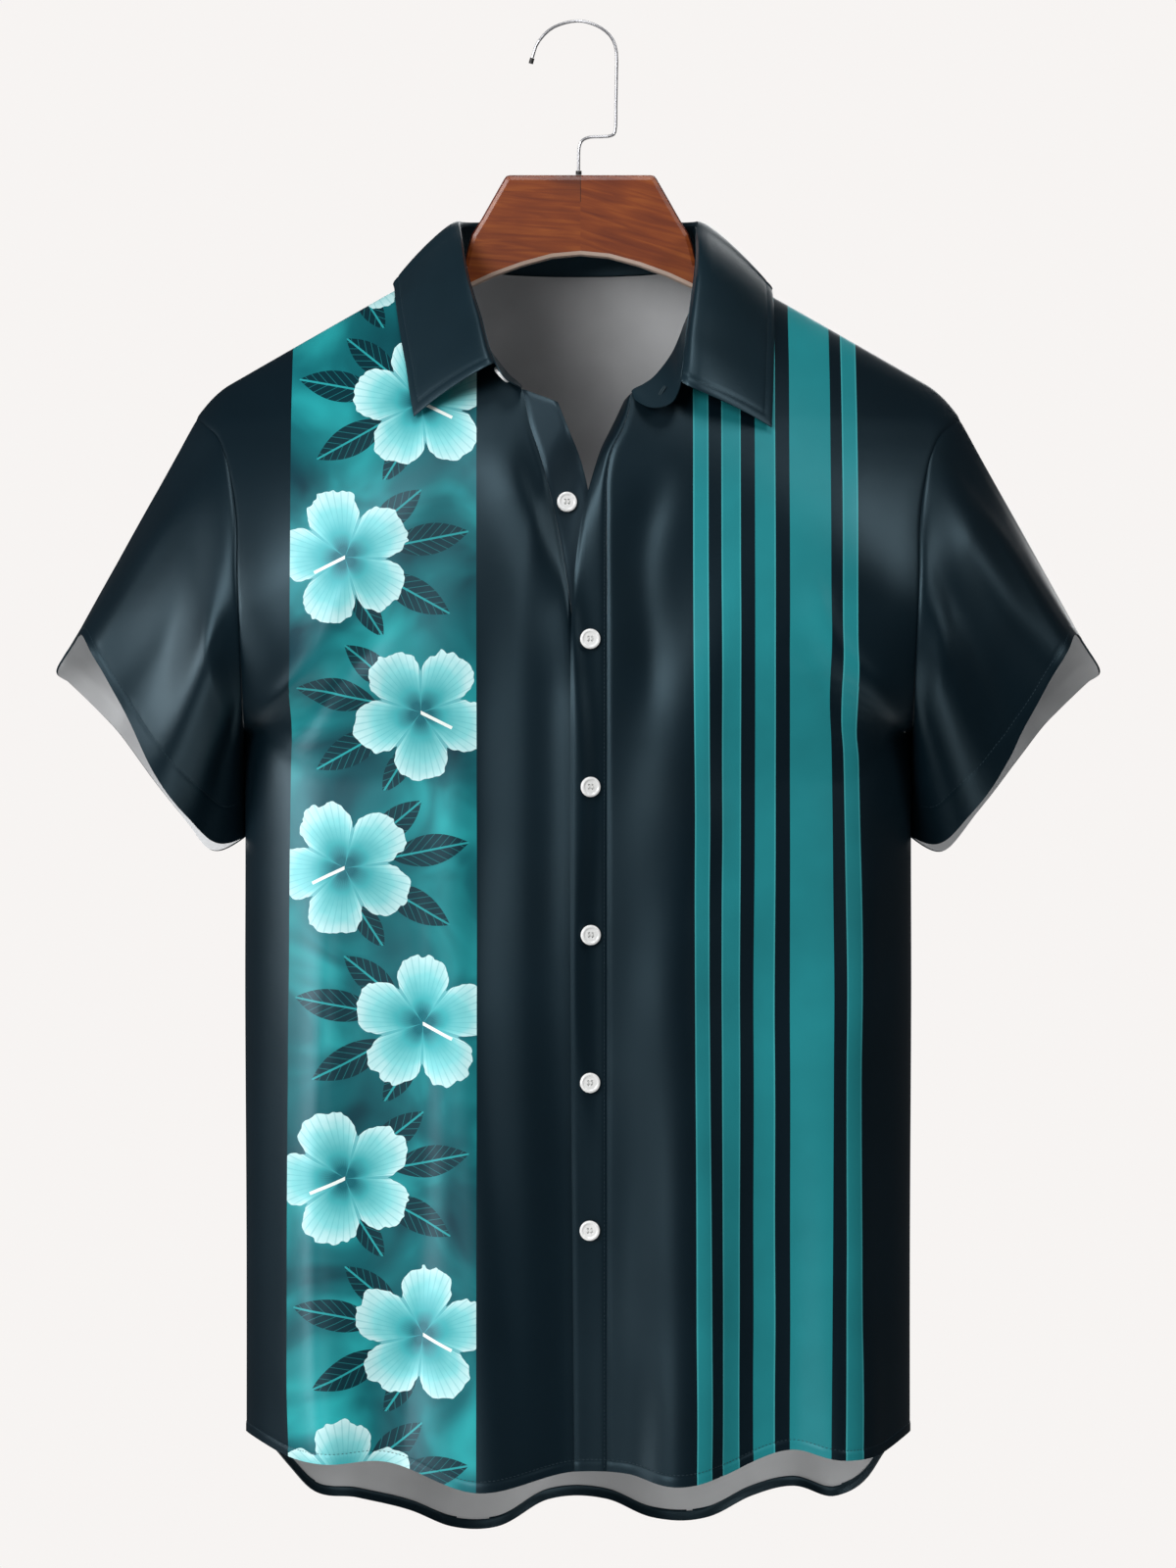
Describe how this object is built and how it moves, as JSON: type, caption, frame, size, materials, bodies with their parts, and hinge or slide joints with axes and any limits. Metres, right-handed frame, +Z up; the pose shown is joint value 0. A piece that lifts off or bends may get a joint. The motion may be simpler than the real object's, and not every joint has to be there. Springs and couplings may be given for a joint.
{
  "type": "hawaiian shirt on a hanger",
  "caption": "Short-sleeved button-front shirt with a turned-down collar, hanging open at the neck on a wooden hanger with a wire hook.",
  "frame": {"origin": "inside top of the hanger's hook, where it rests on a rail", "axes": "+Z up, -Y towards the shirt's front, +X towards the wearer's left sleeve"},
  "size_m": [0.6384, 0.2323, 0.9304],
  "materials": {
    "navy_cloth": "smooth woven polyester with a soft sheen",
    "collar_cloth": "smooth woven polyester with a soft sheen",
    "band_cloth": "smooth woven polyester with a soft sheen",
    "white_button": "gloss",
    "brown_wood": "varnished",
    "hook_steel": "polished",
    "dark_cap": "matt"
  },
  "bodies": {
    "root": {"back": "navy_cloth", "front_right": "navy_cloth", "front_left": "navy_cloth", "band_button": "band_cloth", "band_buttonhole": "band_cloth", "sleeve_right": "navy_cloth", "sleeve_left": "navy_cloth", "collar_stand": "collar_cloth", "collar_leaf": "collar_cloth", "button_1": "white_button", "button_2": "white_button", "button_3": "white_button", "button_4": "white_button", "button_5": "white_button", "button_6": "white_button", "button_collar": "white_button", "hanger_bar": "brown_wood", "hanger_hook": "hook_steel", "hook_tip": "dark_cap", "hook_ferrule": "dark_cap"}
  },
  "joints": []
}
